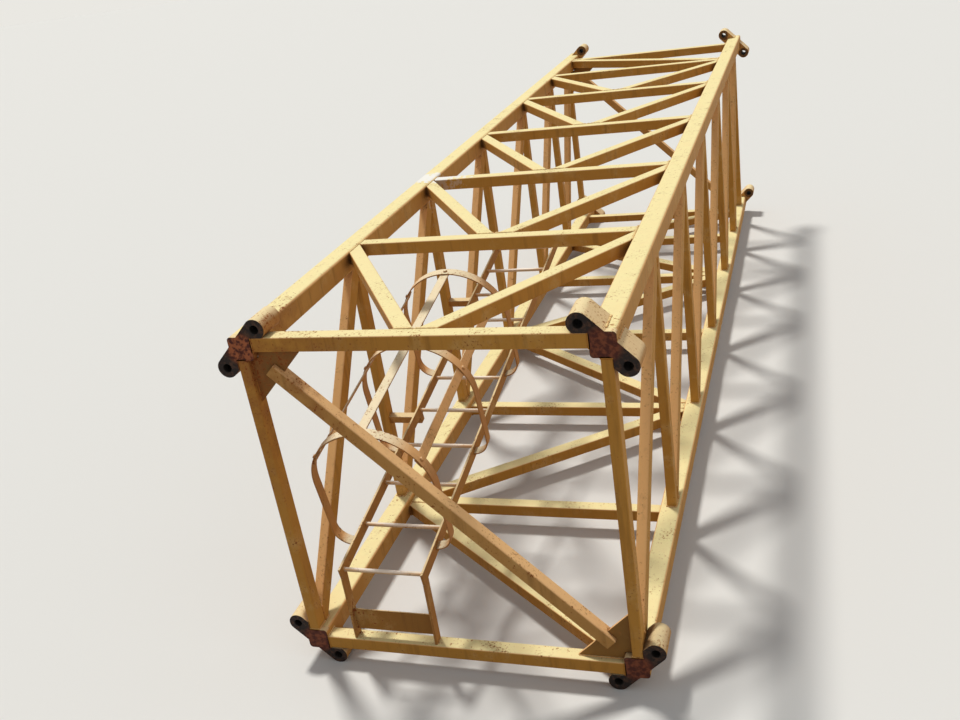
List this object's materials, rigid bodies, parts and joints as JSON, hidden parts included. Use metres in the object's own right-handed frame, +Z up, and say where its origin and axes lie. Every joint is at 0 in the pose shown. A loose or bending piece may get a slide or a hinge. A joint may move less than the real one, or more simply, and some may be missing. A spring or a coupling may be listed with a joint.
{
  "type": "tower crane mast section, dismantled and lying on its side",
  "caption": "Square lattice mast section of a tower crane: box legs with bolted corner joints, K braces, side braces, and an inner sloping ladder with safety hoops, lying on its side.",
  "frame": {"origin": "on the ground under the middle of the section, bottom centre of its box", "axes": "+Z up as the section lies; +Y along the section, away from the end nearest the picture; +X across, to the right"},
  "size_m": [1.7526, 6.662, 1.7527],
  "materials": {
    "leg_paint": "worn yellow paint, chipped and rusty at edges",
    "bar_paint": "worn yellow paint",
    "joint_paint": "yellow paint over rust, bare dark contact faces",
    "ladder_paint": "worn yellow paint, rubbed on the rungs"
  },
  "bodies": {
    "root": {"leg_top_left": "leg_paint", "leg_top_right": "leg_paint", "leg_bottom_left": "leg_paint", "leg_bottom_right": "leg_paint", "joint_near_top_left": "joint_paint", "joint_near_top_right": "joint_paint", "joint_near_bottom_left": "joint_paint", "joint_near_bottom_right": "joint_paint", "joint_far_top_left": "joint_paint", "joint_far_top_right": "joint_paint", "joint_far_bottom_left": "joint_paint", "joint_far_bottom_right": "joint_paint", "top_cross_bars": "bar_paint", "bottom_cross_bars": "bar_paint", "left_posts": "bar_paint", "right_posts": "bar_paint", "top_k_braces_left": "bar_paint", "top_k_braces_right": "bar_paint", "top_end_brace": "bar_paint", "bottom_braces": "bar_paint", "left_braces": "bar_paint", "right_braces": "bar_paint", "near_end_brace": "bar_paint", "far_end_brace": "bar_paint", "near_end_gussets": "bar_paint", "far_end_gussets": "bar_paint", "ladder_left_rail": "ladder_paint", "ladder_right_rail": "ladder_paint", "ladder_rungs": "ladder_paint", "ladder_stands": "ladder_paint", "ladder_toe_plate": "ladder_paint", "ladder_arms": "ladder_paint", "hoop_1": "ladder_paint", "hoop_2": "ladder_paint", "hoop_3": "ladder_paint", "hoop_straps": "ladder_paint"}
  },
  "joints": []
}
